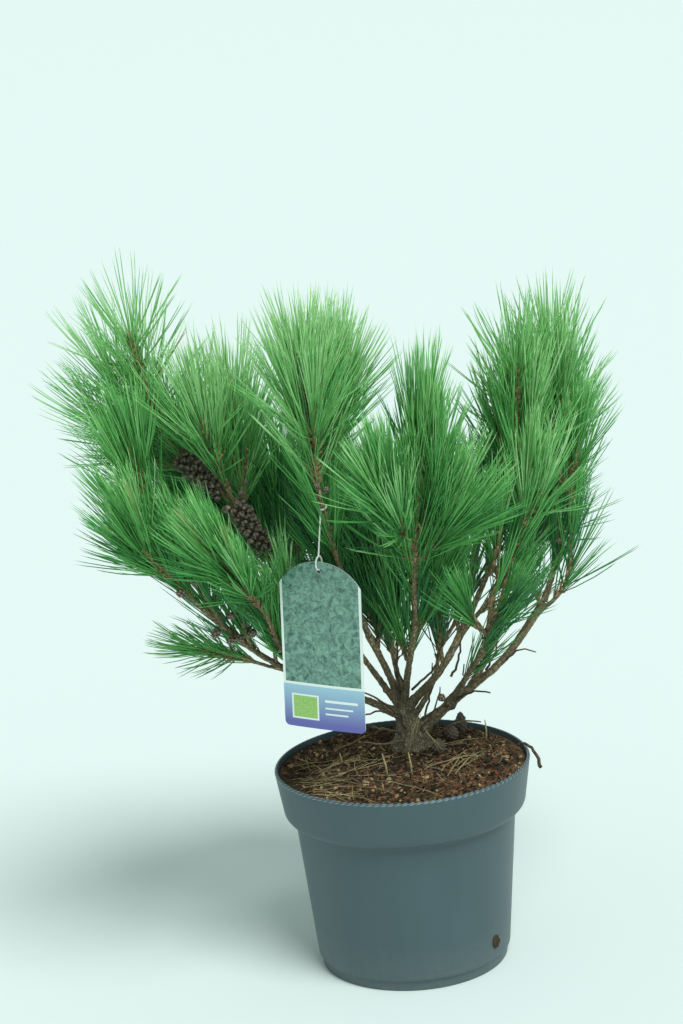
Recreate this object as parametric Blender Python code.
# A young Japanese red pine in its plastic nursery pot, with a care tag tied to it.
# Lengths in the tables are millimetres and become metres as each shape is made.
# The origin is the centre of the pot's flat underside, +Z is up and the front faces -Y.

import bpy
import bmesh
from collections import namedtuple
from math import cos, hypot, pi, radians, sin, sqrt
from random import Random
from mathutils import Matrix, Quaternion, Vector

MM = 0.001
GAP = 0.3                     # clearance that touching pieces keep
SEED = 21
GOLDEN_TURN = pi * (3 - sqrt(5))

# Nursery pot, 26 cm across and 21 cm high
POT_HEIGHT = 210.0
RIM_RADIUS = 130.0
RIM_BAND = 43.0               # height of the straight band under the rim
BAND_FOOT_RADIUS = 123.5
BODY_TOP_RADIUS = 112.5
BODY_FOOT_RADIUS = 99.0
FOOT_RADIUS = 95.5
FOOT_HEIGHT = 10.0
WALL = 2.0
POT_SIDES = 44
DRAIN_HOLES = 8
DRAIN_RADIUS = 6.0
DRAIN_CIRCLE = 72.0
BAND_FOOT = POT_HEIGHT - RIM_BAND
INSIDE = [                    # height and radius of the inside, from the floor to the lip
    (WALL, FOOT_RADIUS - WALL),
    (BAND_FOOT - 9, BODY_TOP_RADIUS - WALL),
    (BAND_FOOT + 1, BAND_FOOT_RADIUS - WALL - 0.5),
    (POT_HEIGHT, RIM_RADIUS - 3.0),
]

# Potting mix, mounded a little towards the trunk
SOIL_EDGE = 205.0
SOIL_CROWN = 214.0
CROWN_RADIUS = 64.0
SHOULDER_RADIUS = 96.0
SHOULDER = 209.5

# Trunk
TRUNK_FOOT = (12, 30)
TRUNK_FLARE = 22.0
TRUNK_TOP_RADIUS = 11.0
FLARE_ROOTS = 5
FLARE_DEPTH = 0.16
TRUNK_SIDES = 15

# Foliage
NEEDLE_LENGTH = 96.0
NEEDLE_RADIUS = 2.1           # at the root; each stands for a few real needles
NEEDLE_STEP = 13.4            # distance along a shoot from one needle to the next
CORE_RADIUS = 4.0             # a shoot wrapped in the feet of its needles
SPREAD_LOW = 50.0             # degrees off the shoot where its needles begin
SPREAD_HIGH = 21.0            # and near its tip
TIP_LEAN = 18.0               # and on the very tip
UNEVEN = (0.6, 1.4)           # each needle's lean varies by this share
LIFT = 0.14                   # how strongly needles turn up towards the light
TWIG_LEAN = (20, 30)          # degrees that a seeded twig leans off its shoot
TIP_BRUSH = 3                 # needles that stand on the very tip
REACHING = (0.97, 0.7)        # stations of the needles that reach outwards, away from the trunk
REACH_LEAN = 38.0             # degrees off the shoot
TWIG_FROM = 112.0             # a shoot this long carries a seeded twig
TWIG_STATION = 0.38
TWIG_RADIUS = 2.3
LIMB_RING_STEP = 20.0         # distance from one ring of a tube to the next
SHOOT_RING_STEP = 34.0
TWIG_RING_STEP = 24.0
SPACE_MARGIN = 4.6            # how much nearer a needle stays to its own mass
# A needle that would leave its space is tried shorter and closer to its shoot
# (share of its length, share of its lean), and is skipped where none of these fits.
FITTINGS = [(1.0, 1.0), (1.0, 0.6), (1.0, 0.3), (0.78, 0.8), (0.78, 0.4), (0.58, 0.7), (0.58, 0.3)]

# Cone clusters on the left bough: small round cones packed round the stem
CONE_RADIUS = 6.6
CONE_LENGTH = 14.0
CONES_PER_TURN = 2
CONE_PITCH = 10.0

# Care tag of thin plastic sheet
TAG_WIDTH = 86.0
TAG_SIDE = 145.0
TAG_ARCH = 24.0
TAG_THICKNESS = 0.8
TAG_HOLE_DROP = 9.0
TAG_HOLE_RADIUS = 2.5
TAG_HOLE_AT = (-66, -100, 440)
TAG_TURN = 25.0
TAG_LEAN = 2.5
STRING_RADIUS = 0.9
STRING_BOW = 6.5

Limb = namedtuple("Limb", "name parent station points foot tip")
Mass = namedtuple("Mass", "name bough leader sides spread tint")

# Each bough leaves its parent at a station from 0 at the foot to 1 at the tip,
# passes its points, and tapers from its foot radius to its tip radius.
BOUGHS = [
    Limb("bough_right", "trunk", 0.22, [(60, 22, 264), (111, 20, 304), (154, 20, 360)], 8.0, 4.6),
    Limb("bough_right_mid", "bough_right", 1.0, [(167, 27, 392), (174, 30, 415)], 4.2, 3.6),
    Limb("bough_right_outer", "bough_right", 0.9, [(174, 8, 378), (185, 10, 428)], 2.8, 2.2),
    Limb("bough_front_right", "bough_right", 0.27, [(74, -18, 304), (87, -54, 334)], 5.2, 3.2),
    Limb("bough_middle", "trunk", 0.88, [(46, -8, 306), (75, -10, 355)], 5.6, 4.4),
    Limb("bough_middle_upper", "bough_middle", 1.0, [(98, -10, 402), (113, -10, 442)], 3.9, 3.2),
    Limb("bough_middle_front", "bough_middle", 0.88, [(100, -32, 384), (122, -46, 424)], 3.0, 2.4),
    Limb("bough_centre", "trunk", 0.98, [(14, -12, 314), (23, -46, 366)], 5.0, 3.8),
    Limb("bough_left_centre", "trunk", 0.94, [(-9, 2, 306), (-24, -22, 350)], 5.2, 4.0),
    Limb("bough_tall_left", "bough_left_centre", 1.0, [(-46, -60, 428), (-60, -86, 506)], 3.6, 2.7),
    Limb("bough_left_inner", "bough_left_centre", 0.8, [(-12, -18, 362), (-14, -22, 392)], 2.8, 2.3),
    Limb("bough_left", "trunk", 0.74, [(-50, 2, 284), (-112, -20, 322)], 5.2, 4.0),
    Limb("bough_left_outer", "bough_left", 1.0, [(-148, -40, 356), (-184, -54, 398)], 3.7, 2.9),
    Limb("bough_left_upper", "bough_left_outer", 0.84, [(-196, -44, 436), (-212, -42, 470)], 2.6, 2.2),
    Limb("bough_left_low", "bough_left", 0.9, [(-128, 0, 319), (-152, 10, 325)], 2.6, 2.2),
    Limb("bough_left_near", "bough_left", 0.87, [(-112, -54, 356), (-121, -78, 394)], 3.0, 2.4),
    Limb("bough_cones", "bough_left", 0.72, [(-92, -6, 356), (-113, -9, 428)], 3.6, 3.0),
    Limb("bough_back_left", "trunk", 0.8, [(-44, 70, 318), (-88, 98, 384)], 4.2, 3.0),
    Limb("bough_back_mid", "trunk", 0.66, [(-2, 84, 300), (-14, 118, 350)], 4.2, 3.0),
    Limb("bough_back_centre", "trunk", 0.5, [(40, 52, 280), (56, 98, 350)], 3.6, 2.6),
    Limb("bough_back_inner", "bough_back_centre", 0.62, [(70, 72, 338), (86, 56, 376)], 2.5, 2.1),
    Limb("bough_back_right", "bough_right", 0.42, [(110, 66, 318), (142, 96, 366)], 4.0, 3.0),
]

# Each mass of needles grows on from its bough's tip. The leader passes its points;
# side shoots leave it at a station and end at their tip. Spread widens the needles.
MASSES = [
    Mass("needles_right_tall", "bough_right_mid", [(173, 30, 520), (174, 30, 608)],
         [(0.3, (166, 72, 512)), (0.34, (152, 46, 540))], 0.82, 0.6),
    Mass("needles_right_outer", "bough_right_outer", [(184, 8, 480), (184, 6, 532)], [], 0.85, 0.6),
    Mass("needles_middle_tall", "bough_middle_upper", [(133, -10, 524), (138, -10, 600)],
         [(0.32, (118, 16, 534))], 0.9, 0.6),
    Mass("needles_middle_front", "bough_middle_front", [(135, -52, 462), (143, -56, 512)], [], 0.9, 0.65),
    Mass("needles_front_right", "bough_front_right", [(94, -72, 364), (100, -88, 402)],
         [(0.3, (74, -90, 388))], 0.8, 0.4),
    Mass("needles_centre", "bough_centre", [(27, -76, 450), (45, -100, 580)],
         [(0.3, (62, -92, 492))], 0.85, 0.62),
    Mass("needles_left_inner", "bough_left_inner", [(-10, -27, 420), (-17, -30, 444)],
         [(0.12, (-42, -24, 480))], 0.8, 0.35),
    Mass("needles_tall_left", "bough_tall_left", [(-65, -86, 570), (-69, -80, 630)],
         [(0.12, (-45, -52, 610))], 0.95, 0.85),
    Mass("needles_cone_branch", "bough_cones",
         [(-148, -18, 494), (-203, 0, 546), (-222, 0, 600), (-231, 0, 652)],
         [(0.2, (-140, 26, 584)), (0.26, (-170, -42, 590))], 1.15, 0.8),
    Mass("needles_left_upper", "bough_left_upper", [(-232, -42, 520), (-242, -42, 560)], [], 0.9, 0.7),
    Mass("needles_left_outer", "bough_left_outer", [(-220, -70, 450), (-246, -80, 490)],
         [(0.3, (-220, -60, 456))], 0.85, 0.55),
    Mass("needles_left_low", "bough_left_low", [(-174, 18, 324), (-206, 24, 326)], [], 1.0, 0.5),
    Mass("needles_left_near", "bough_left_near", [(-133, -102, 420), (-158, -128, 466)],
         [(0.3, (-148, -86, 444))], 0.95, 0.6),
    Mass("needles_back_left", "bough_back_left", [(-103, 102, 440), (-110, 104, 486)],
         [(0.16, (-158, 122, 468)), (0.12, (-112, 158, 424))], 1.0, 0.35),
    Mass("needles_back_mid", "bough_back_mid", [(-36, 134, 414), (-52, 142, 470)],
         [(0.1, (16, 164, 412)), (0.3, (-66, 178, 420))], 1.0, 0.35),
    Mass("needles_back_centre", "bough_back_centre", [(62, 118, 392), (64, 126, 430)], [], 0.9, 0.3),
    Mass("needles_back_inner", "bough_back_inner", [(92, 52, 424), (95, 50, 474)], [], 0.75, 0.3),
    Mass("needles_back_right", "bough_back_right", [(134, 116, 412), (130, 126, 462)],
         [(0.12, (168, 118, 466)), (0.1, (158, 156, 420))], 0.9, 0.35),
]
CONE_RUNS = [(0.03, 0.27), (0.32, 0.56)]      # stretches of the cone branch that carry cones

# Old closed cones that stand in the mix at the trunk's foot: place, width, height
OLD_CONES = [
    ("old_cone_back", (64, 72), 12, 24),
    ("old_cone_middle", (53, 40), 14, 16),
    ("old_cone_front", (38, 0), 13, 17),
]

FINISH = {
    "pot": ("#4A6366", 0.42),
    "soil": ("#4B3A2C", 0.95),
    "bark": ("#6B6350", 0.85),
    "needles": ("#4E8E50", 0.5),
    "old_cone": ("#5A5044", 0.8),
    "care_tag": ("#7FA08F", 0.35),
    "tag_string": ("#F2F4F0", 0.7),
}


def clear_scene():
    for thing in list(bpy.data.objects):
        bpy.data.objects.remove(thing)


def linear(channel):
    """One sRGB channel from 0 to 1 as linear light."""
    return channel / 12.92 if channel <= 0.04045 else ((channel + 0.055) / 1.055) ** 2.4


def plain_material(name, finish, shade=1.0):
    """A Principled material from a finish's sRGB hex colour and roughness."""
    hexcode, rough = FINISH[finish]
    channels = [int(hexcode[i:i + 2], 16) / 255 for i in (1, 3, 5)]
    material = bpy.data.materials.new(name)
    material.use_nodes = True
    shader = material.node_tree.nodes["Principled BSDF"]
    shader.inputs["Base Color"].default_value = [linear(c) * shade for c in channels] + [1.0]
    shader.inputs["Roughness"].default_value = rough
    shader.inputs["Metallic"].default_value = 0.0
    return material


def new_object(name, bm, collection=None):
    """Turn a bmesh into an object with its faces pointing out."""
    bmesh.ops.recalc_face_normals(bm, faces=bm.faces)
    mesh = bpy.data.meshes.new(name)
    bm.to_mesh(mesh)
    bm.free()
    thing = bpy.data.objects.new(name, mesh)
    (collection or bpy.context.scene.collection).objects.link(thing)
    return thing


def finished(thing, finish, shade=1.0):
    """Give an object its own material and smooth its round faces."""
    thing.data.materials.clear()
    thing.data.materials.append(plain_material(thing.name, finish, shade))
    thing.data.shade_smooth()
    thing.data.set_sharp_from_angle(angle=radians(40))
    return thing


def freeze(body):
    """Replace the body's mesh by what its modifiers give, and drop the modifiers."""
    shape = body.evaluated_get(bpy.context.evaluated_depsgraph_get())
    mesh = bpy.data.meshes.new_from_object(shape)
    body.modifiers.clear()
    body.data = mesh


def subtract(body, cutter):
    """Cut one object out of another and remove the cutter."""
    cutter.hide_render = True
    cutter.display_type = "WIRE"
    cut = body.modifiers.new("cut", "BOOLEAN")
    cut.operation = "DIFFERENCE"
    cut.object = cutter
    freeze(body)
    bpy.data.objects.remove(cutter)


def keep_largest(body):
    """Drop the loose scraps that a Boolean leaves beside the main shell."""
    bm = bmesh.new()
    bm.from_mesh(body.data)
    unseen = set(bm.faces)
    shells = []
    while unseen:
        stack = [unseen.pop()]
        shell = []
        while stack:
            face = stack.pop()
            shell.append(face)
            for edge in face.edges:
                for other in edge.link_faces:
                    if other in unseen:
                        unseen.remove(other)
                        stack.append(other)
        shells.append(shell)
    shells.sort(key=lambda shell: sum(face.calc_area() for face in shell))
    for shell in shells[:-1]:
        bmesh.ops.delete(bm, geom=shell, context="FACES")
    bm.to_mesh(body.data)
    bm.free()


def fuse(body, collection):
    """Join a collection's objects to the body by one union, then remove them."""
    union = body.modifiers.new("union", "BOOLEAN")
    union.operation = "UNION"
    union.operand_type = "COLLECTION"
    union.collection = collection
    union.solver = "MANIFOLD"
    freeze(body)
    for piece in list(collection.objects):
        bpy.data.objects.remove(piece)
    bpy.data.collections.remove(collection)
    keep_largest(body)


def turned(name, profile, sides, centre=(0, 0), collection=None):
    """Turn an outline of (radius, height) points, which starts and ends on the axis."""
    bm = bmesh.new()
    rings = []
    for radius, height in profile:
        if radius == 0:
            rings.append([bm.verts.new((centre[0] * MM, centre[1] * MM, height * MM))] * sides)
            continue
        rings.append([
            bm.verts.new((
                (centre[0] + radius * cos(2 * pi * k / sides)) * MM,
                (centre[1] + radius * sin(2 * pi * k / sides)) * MM,
                height * MM))
            for k in range(sides)])
    for low, high in zip(rings, rings[1:]):
        for k in range(sides):
            corners = [low[k], low[(k + 1) % sides], high[(k + 1) % sides], high[k]]
            bm.faces.new(list(dict.fromkeys(corners)))
    return new_object(name, bm, collection)


def smooth_path(points, step):
    """A curve through the points, as even steps along it."""
    points = [Vector(p) for p in points]
    ends = [2 * points[0] - points[1]] + points + [2 * points[-1] - points[-2]]
    path = []
    for a, b, c, d in zip(ends, ends[1:], ends[2:], ends[3:]):
        count = max(1, round((c - b).length / step))
        for k in range(count):
            t = k / count
            path.append(0.5 * (2 * b + (c - a) * t + (2 * a - 5 * b + 4 * c - d) * t * t
                               + (3 * b - a - 3 * c + d) * t ** 3))
    path.append(points[-1])
    return path


def along(path, station):
    """Place and direction at a station from 0 to 1 of a path."""
    lengths = [(b - a).length for a, b in zip(path, path[1:])]
    left = station * sum(lengths)
    for a, b, length in zip(path, path[1:], lengths):
        if left <= length:
            return a + (b - a) * (left / length), (b - a).normalized()
        left -= length
    return path[-1], (path[-1] - path[-2]).normalized()


def tube(name, path, radii, sides, first=None, collection=None, swell=None):
    """A tapering tube with flat ends; first sets the direction its foot faces."""
    heading = Vector(first) if first else (path[1] - path[0]).normalized()
    side = heading.orthogonal().normalized()
    bm = bmesh.new()
    rings = []
    for k, (point, radius) in enumerate(zip(path, radii)):
        if k:
            ahead = path[min(k + 1, len(path) - 1)] - path[k - 1]
            turn = heading.rotation_difference(ahead)
            side.rotate(turn)
            heading = ahead.normalized()
        across = heading.cross(side)
        ring = []
        for j in range(sides):
            angle = 2 * pi * j / sides
            reach = radius * (swell(k, angle) if swell else 1.0)
            ring.append(bm.verts.new(
                (point + (side * cos(angle) + across * sin(angle)) * reach) * MM))
        rings.append(ring)
    for low, high in zip(rings, rings[1:]):
        for j in range(sides):
            k = (j + 1) % sides
            bm.faces.new([low[j], low[k], high[k]])
            bm.faces.new([low[j], high[k], high[j]])
    bm.faces.new(rings[0][::-1])
    bm.faces.new(rings[-1])
    return new_object(name, bm, collection)


def tapered(path, foot, tip):
    """A radius for each point of a path."""
    last = len(path) - 1
    return [foot + (tip - foot) * k / last for k in range(last + 1)]


def nearest_on(path, radii, point):
    """Distance from a point to the skin of a tube."""
    best = 1e9
    for (a, b), radius in zip(zip(path, path[1:]), radii):
        run = b - a
        t = max(0.0, min(1.0, (point - a).dot(run) / run.length_squared))
        best = min(best, (point - a - run * t).length - radius)
    return best


def build_pot():
    """The pot: inset foot, tapering body, stepped band with a rounded lip, drain holes."""
    profile = [
        (0, 0), (FOOT_RADIUS, 0), (FOOT_RADIUS, FOOT_HEIGHT),
        (BODY_FOOT_RADIUS, FOOT_HEIGHT + 2),
        (BODY_TOP_RADIUS, BAND_FOOT - 9),
        (BODY_TOP_RADIUS + 5, BAND_FOOT - 7),
        (BAND_FOOT_RADIUS - 1.2, BAND_FOOT - 3),
        (BAND_FOOT_RADIUS, BAND_FOOT + 1),
        (RIM_RADIUS - 0.6, POT_HEIGHT - 2),
        (RIM_RADIUS - 1.2, POT_HEIGHT),
        (INSIDE[-1][1], POT_HEIGHT),
    ] + [(radius, height) for height, radius in INSIDE[-2::-1]] + [(0, WALL)]
    pot = turned("pot", profile, POT_SIDES)
    for k in range(DRAIN_HOLES):
        angle = 2 * pi * (k + 0.5) / DRAIN_HOLES
        centre = (DRAIN_CIRCLE * cos(angle), DRAIN_CIRCLE * sin(angle))
        outline = [(0, -5), (DRAIN_RADIUS, -5), (DRAIN_RADIUS, WALL + 5), (0, WALL + 5)]
        subtract(pot, turned("drain", outline, 10, centre))
    return finished(pot, "pot")


def inner_radius(height):
    """Radius of the pot's inside at a height."""
    for (low, inner), (high, outer) in zip(INSIDE, INSIDE[1:]):
        if height <= high:
            return inner + (outer - inner) * (height - low) / (high - low)
    return INSIDE[-1][1]


def mix_height(radius):
    """Height of the mounded mix at a distance from the pot's axis."""
    if radius <= CROWN_RADIUS:
        return SOIL_CROWN
    if radius <= SHOULDER_RADIUS:
        share = (radius - CROWN_RADIUS) / (SHOULDER_RADIUS - CROWN_RADIUS)
        return SOIL_CROWN + (SHOULDER - SOIL_CROWN) * share
    share = (radius - SHOULDER_RADIUS) / (inner_radius(SOIL_EDGE) - SHOULDER_RADIUS)
    return SHOULDER + (SOIL_EDGE - SHOULDER) * share


def build_soil():
    """The potting mix fills the pot and is flat where the trunk stands on it."""
    heights = [WALL + GAP, BAND_FOOT - 9, BAND_FOOT + 1, SOIL_EDGE]
    wall = [(inner_radius(height) - GAP, height) for height in heights]
    mound = [(radius, mix_height(radius)) for radius in (SHOULDER_RADIUS, CROWN_RADIUS, 0)]
    profile = [(0, WALL + GAP)] + wall + mound
    return finished(turned("soil", profile, POT_SIDES), "soil")


def flare_swell(k, angle):
    """Roots raise the trunk's foot in ridges that fade a third of the way up."""
    fade = max(0.0, 1 - k / 3)
    return 1 + FLARE_DEPTH * fade * cos(FLARE_ROOTS * angle)


def grow_limbs():
    """Work out every limb's path and radii: the trunk first, then boughs in order."""
    ground = SOIL_CROWN + GAP
    x, y = TRUNK_FOOT
    path = smooth_path([(x, y, ground), (x - 2, y - 1, ground + 20), (x - 7, y - 2, ground + 44)], 7)
    last = len(path) - 1
    radii = [TRUNK_TOP_RADIUS + (TRUNK_FLARE - TRUNK_TOP_RADIUS) * (1 - k / last) ** 2
             for k in range(last + 1)]
    limbs = {"trunk": (path, radii, None)}
    for bough in BOUGHS:
        parent_path = limbs[bough.parent][0]
        start, heading = along(parent_path, bough.station)
        first = None
        if bough.station == 1.0:
            start = start + heading * GAP
            first = heading
        path = smooth_path([start] + bough.points, LIMB_RING_STEP)
        limbs[bough.name] = (path, tapered(path, bough.foot, bough.tip), first)
    return limbs


def limb_tube(name, limbs, extra=0.0):
    """The tube of one limb, or one that is larger all round, to cut its neighbours by."""
    path, radii, first = limbs[name]
    if extra:
        path = path + [path[-1] + along(path, 1.0)[1] * extra]
        radii = [radius + extra for radius in radii + radii[-1:]]
    if name == "trunk":
        trunk = tube(name, path, radii, TRUNK_SIDES, swell=flare_swell)
        for vertex in list(trunk.data.vertices)[:TRUNK_SIDES]:
            vertex.co.z = (SOIL_CROWN + GAP) * MM
        return trunk
    return tube(name, path, radii, 8 if radii[0] > 3.9 else 6, first)


def build_limbs(limbs):
    """Make the limbs; each side limb is cut clear of the ones made before it."""
    continued = {bough.name: bough.parent for bough in BOUGHS if bough.station == 1.0}
    made = []
    for name, (path, radii, first) in limbs.items():
        limb = limb_tube(name, limbs)
        for other in made:
            if continued.get(name) == other:
                continue
            other_path, other_radii, _ = limbs[other]
            reach = min(nearest_on(other_path, other_radii, point) - radius
                        for point, radius in zip(path, radii))
            if reach < 1.0:
                subtract(limb, limb_tube(other, limbs, GAP * 1.3))
        keep_largest(limb)
        made.append(name)
        finished(limb, "bark", 0.8 if radii[0] > 4.5 else 1.0)


def bend_up(base, tip):
    """A side shoot leaves outwards and turns up towards its tip."""
    chord = tip - base
    middle = base + Vector((chord.x * 0.62, chord.y * 0.62, chord.z * 0.42))
    return [base, middle, tip]


def shoot_radii(path, stem, wrapped):
    """A bare stem that thickens into a needle-wrapped shoot and narrows to its bud."""
    last = len(path) - 1
    radii = []
    for k in range(last + 1):
        t = k / last
        radii.append(stem if t < 0.12 else wrapped if t < 0.9 else 1.4)
    return radii


def grow_masses(limbs):
    """Work out the shoots of every mass: the leader, its side shoots, seeded twigs."""
    masses = {}
    for mass in MASSES:
        bough_path, bough_radii, _ = limbs[mass.bough]
        base, heading = along(bough_path, 1.0)
        base = base + heading * GAP
        leader = smooth_path([base] + [Vector(point) for point in mass.leader], SHOOT_RING_STEP)
        shoots = [(leader, shoot_radii(leader, bough_radii[-1] * 0.94, CORE_RADIUS), heading)]
        for station, tip in mass.sides:
            start, _ = along(leader, station)
            path = smooth_path(bend_up(start, Vector(tip)), SHOOT_RING_STEP)
            shoots.append((path, shoot_radii(path, TWIG_RADIUS, CORE_RADIUS * 0.9), None))
        masses[mass.name] = shoots
    for mass in MASSES:
        masses[mass.name] += seeded_twigs(mass, masses, limbs)
    return masses


def seeded_twigs(mass, masses, limbs):
    """Short twigs round each long shoot, where they keep to the mass's own space."""
    rng = Random(f"{SEED}{mass.name}")
    twigs = []
    turn = rng.uniform(0, 2 * pi)
    for path, _, _ in masses[mass.name]:
        length = sum((b - a).length for a, b in zip(path, path[1:]))
        turn += GOLDEN_TURN
        if length < TWIG_FROM:
            continue
        start, heading = along(path, TWIG_STATION)
        out = Quaternion(heading, turn) @ heading.orthogonal().normalized()
        lean = radians(rng.uniform(*TWIG_LEAN))
        tip = start + (heading * cos(lean) + out * sin(lean)) * length * rng.uniform(0.34, 0.42)
        twig = smooth_path(bend_up(start, tip), TWIG_RING_STEP)
        if keeps_own_space(twig[1:], CORE_RADIUS + 5, mass.name, masses, limbs):
            twigs.append((twig, shoot_radii(twig, TWIG_RADIUS, CORE_RADIUS * 0.8), None))
    return twigs


def keeps_own_space(points, room, own, masses, limbs):
    """True where the points stay nearer to their own mass than to any other mass,
    clear of every limb, the tag, the pot and the mix."""
    for point in points:
        if point.z < SOIL_CROWN + room + 12 or near_tag(point, room):
            return False
        if any(nearest_on(path, radii, point) < room for path, radii, _ in limbs.values()):
            return False
        own_distance = min(nearest_on(path, radii, point) for path, radii, _ in masses[own])
        for name, shoots in masses.items():
            if name == own:
                continue
            if min(nearest_on(path, radii, point) for path, radii, _ in shoots) \
                    < own_distance + SPACE_MARGIN:
                return False
    return True


def tag_frame():
    """Where the tag hangs: its hole, turned about the vertical and leaning a little."""
    return (Matrix.Translation(Vector(TAG_HOLE_AT) * MM)
            @ Matrix.Rotation(-radians(TAG_TURN), 4, "Z")
            @ Matrix.Rotation(radians(TAG_LEAN), 4, "Y"))


TAG_BACK = tag_frame().inverted()


def near_tag(point, room):
    """True inside the slab of space that the hanging tag and its string take."""
    local = TAG_BACK @ (point * MM) / MM
    low = -TAG_SIDE - TAG_ARCH + TAG_HOLE_DROP
    inside_tag = abs(local.x) < TAG_WIDTH / 2 + room and low - room < local.z < TAG_HOLE_DROP + room
    beside_string = abs(local.x) < 10 + room and TAG_HOLE_DROP <= local.z < 70
    return (inside_tag or beside_string) and abs(local.y) < room + 6


def spike(name, root, direction, length, radius, collection):
    """One needle spray: a three-sided spike whose blunt root is sunk in its shoot."""
    side = direction.orthogonal().normalized()
    across = direction.cross(side)
    bm = bmesh.new()
    ring = [bm.verts.new((root + (side * cos(a) + across * sin(a)) * radius) * MM)
            for a in (0, 2 * pi / 3, 4 * pi / 3)]
    point = bm.verts.new((root + direction * length) * MM)
    bm.faces.new(ring[::-1])
    for a, b in zip(ring, ring[1:] + ring[:1]):
        bm.faces.new([a, b, point])
    return new_object(name, bm, collection)


def needle_slots(path, spread, rng):
    """Roots and directions of the needles round one shoot, at its tip, and outwards."""
    length = sum((b - a).length for a, b in zip(path, path[1:]))
    count = max(3, round(length * 0.84 / NEEDLE_STEP))
    turn = rng.uniform(0, 2 * pi)
    for k in range(count + TIP_BRUSH):
        on_tip = k >= count
        share = 0.97 if on_tip else 0.14 + 0.8 * (k + 0.5) / count
        turn += GOLDEN_TURN
        root, heading = along(path, share)
        side = Quaternion(heading, turn) @ heading.orthogonal().normalized()
        wide = SPREAD_LOW + (SPREAD_HIGH - SPREAD_LOW) * share
        lean = radians((TIP_LEAN if on_tip else wide) * spread * rng.uniform(*UNEVEN))
        yield root, heading, side, lean, NEEDLE_LENGTH * rng.uniform(0.93, 1.04)
    for share in REACHING:
        root, heading = along(path, share)
        outward = Vector((root.x - TRUNK_FOOT[0], root.y - TRUNK_FOOT[1], 0))
        side = (outward - heading * outward.dot(heading)).normalized()
        yield root, heading, side, radians(REACH_LEAN * spread), NEEDLE_LENGTH * 1.04


def build_mass(mass, masses, limbs):
    """Fuse a mass from its shoots, its needles and, on the cone branch, its cones."""
    rng = Random(f"needles{SEED}{mass.name}")
    parts = bpy.data.collections.new(mass.name)
    bpy.context.scene.collection.children.link(parts)
    shoots = masses[mass.name]
    body = None
    for path, radii, first in shoots:
        group = parts if body else None
        stem = tube(mass.name, path, radii, 4, first, group)
        body = body or stem
    for path, radii, _ in shoots:
        for root, heading, side, lean, length in needle_slots(path, mass.spread, rng):
            for shorter, tighter in FITTINGS:
                aim = heading * cos(lean * tighter) + side * sin(lean * tighter)
                direction = (aim + Vector((0, 0, LIFT))).normalized()
                reach = length * shorter
                stations = [root + direction * reach * t for t in (0.14, 0.3, 0.5, 0.7, 0.86, 1.0)]
                if keeps_own_space(stations, NEEDLE_RADIUS + 0.6, mass.name, masses, limbs):
                    spike("needle", root, direction, reach, NEEDLE_RADIUS, parts)
                    break
    if mass.name == "needles_cone_branch":
        for low, high in CONE_RUNS:
            cone_cluster(shoots[0][0], low, high, parts)
    fuse(body, parts)
    return finished(body, "needles", 0.7 + 0.5 * mass.tint)


def cone_cluster(path, low, high, collection):
    """Small round cones in turns round a stretch of the stem."""
    start, _ = along(path, low)
    end, _ = along(path, high)
    count = CONES_PER_TURN * round((end - start).length / CONE_PITCH)
    for k in range(count):
        root, heading = along(path, low + (high - low) * (k + 0.5) / count)
        side = Quaternion(heading, GOLDEN_TURN * k) @ heading.orthogonal().normalized()
        out = (side + heading * 0.25).normalized()
        reach = [root, root + out * CONE_LENGTH * 0.6, root + out * CONE_LENGTH]
        tube("cone", reach, [1.2, CONE_RADIUS, 1.6], 5, None, collection)


def build_old_cones():
    """Closed cones standing on the mix, egg-shaped with a flat foot."""
    for name, (x, y), width, height in OLD_CONES:
        foot = mix_height(hypot(x, y) - width / 2) + GAP
        outline = [(0, foot)]
        for share in (0, 0.2, 0.45, 0.7, 0.9):
            radius = width / 2 * sqrt(1 - 0.8 * (2 * share - 1) ** 2)
            outline.append((radius, foot + height * share))
        outline.append((0, foot + height))
        finished(turned(name, outline, 9, (x, y)), "old_cone")


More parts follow.
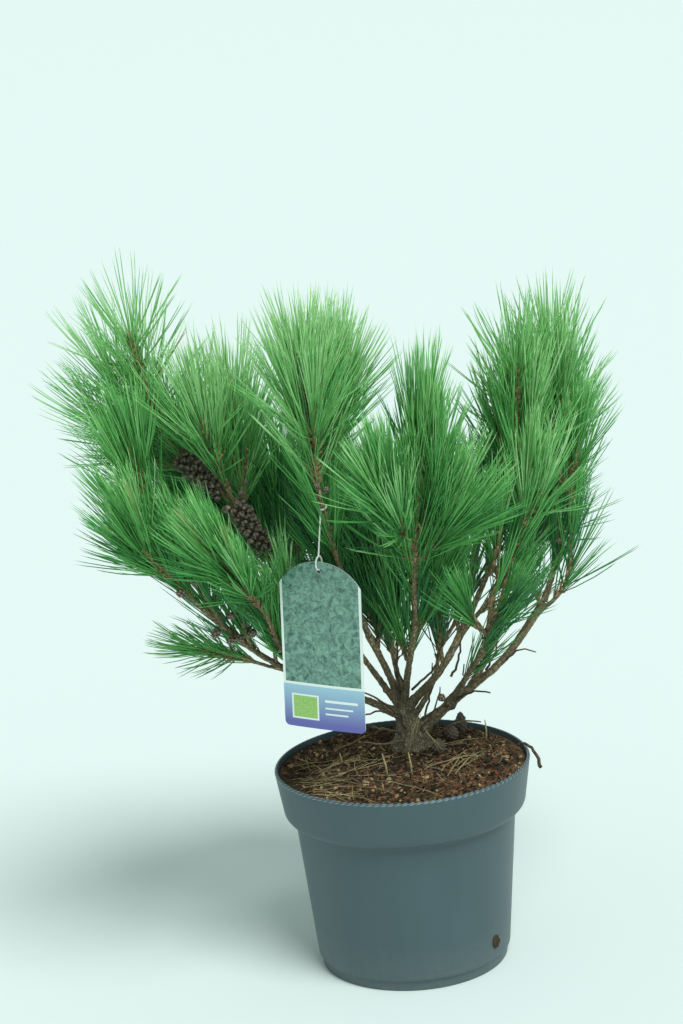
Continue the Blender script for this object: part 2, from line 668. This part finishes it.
def build_tag():
    """The hanging tag: straight sides, arched top, a hole for its string."""
    bm = bmesh.new()
    top = TAG_HOLE_DROP
    shoulder = top - TAG_ARCH
    half = TAG_WIDTH / 2
    arch_radius = (half * half + TAG_ARCH * TAG_ARCH) / (2 * TAG_ARCH)
    outline = [(-half, shoulder - TAG_SIDE), (half, shoulder - TAG_SIDE)]
    steps = 12
    for k in range(steps + 1):
        x = half - TAG_WIDTH * k / steps
        outline.append((x, top - arch_radius + sqrt(arch_radius ** 2 - x * x)))
    face = bm.faces.new([bm.verts.new((x * MM, -TAG_THICKNESS / 2 * MM, z * MM)) for x, z in outline])
    sheet = bmesh.ops.extrude_face_region(bm, geom=[face])
    moved = [item for item in sheet["geom"] if isinstance(item, bmesh.types.BMVert)]
    bmesh.ops.translate(bm, verts=moved, vec=(0, TAG_THICKNESS * MM, 0))
    tag = new_object("care_tag", bm)
    punch = turned("punch", [(0, -3), (TAG_HOLE_RADIUS, -3), (TAG_HOLE_RADIUS, 3), (0, 3)], 12)
    punch.data.transform(Matrix.Rotation(pi / 2, 4, "X"))
    subtract(tag, punch)
    tag.data.transform(tag_frame())
    return finished(tag, "care_tag")


def string_ring(centre, axis, radius, collection, sides=14):
    """A closed ring of string round an axis."""
    side = axis.orthogonal().normalized()
    across = axis.cross(side)
    bm = bmesh.new()
    rings = []
    for k in range(sides):
        angle = 2 * pi * k / sides
        out = side * cos(angle) + across * sin(angle)
        rings.append([bm.verts.new((centre + out * (radius + STRING_RADIUS * cos(b))
                                    + axis * STRING_RADIUS * sin(b)) * MM)
                      for b in (pi / 6 + 2 * pi * j / 6 for j in range(6))])
    for low, high in zip(rings, rings[1:] + rings[:1]):
        for j in range(6):
            bm.faces.new([low[j], low[(j + 1) % 6], high[(j + 1) % 6], high[j]])
    return new_object("ring", bm, collection)


def build_string(limbs):
    """The tag's string: a ring through the hole, a twisted run, a ring round the bough."""
    parts = bpy.data.collections.new("tag_string")
    bpy.context.scene.collection.children.link(parts)
    bough_path, bough_radii, _ = limbs["bough_tall_left"]
    tie, heading = along(bough_path, 0.95)
    tie_radius = bough_radii[-1] * 1.06 + GAP * 1.6 + STRING_RADIUS
    frame = tag_frame()
    lift = TAG_HOLE_RADIUS - STRING_RADIUS - GAP + STRING_BOW
    bow_centre = (frame @ (Vector((0, 0, lift)) * MM)) / MM
    across = (frame.to_3x3() @ Vector((1, 0, 0))).normalized()
    up = (frame.to_3x3() @ Vector((0, 0, 1))).normalized()
    low_end = bow_centre + up * STRING_BOW
    toward = (low_end - tie)
    toward -= heading * toward.dot(heading)
    high_end = tie + toward.normalized() * tie_radius
    string = tube("tag_string", [low_end, low_end.lerp(high_end, 0.5), high_end], [STRING_RADIUS] * 3, 6)
    string_ring(bow_centre, across, STRING_BOW, parts)
    string_ring(tie, heading, tie_radius, parts)
    fuse(string, parts)
    return finished(string, "tag_string")


def build():
    clear_scene()
    build_pot()
    build_soil()
    limbs = grow_limbs()
    build_limbs(limbs)
    masses = grow_masses(limbs)
    for mass in MASSES:
        build_mass(mass, masses, limbs)
    build_old_cones()
    build_tag()
    build_string(limbs)


build()
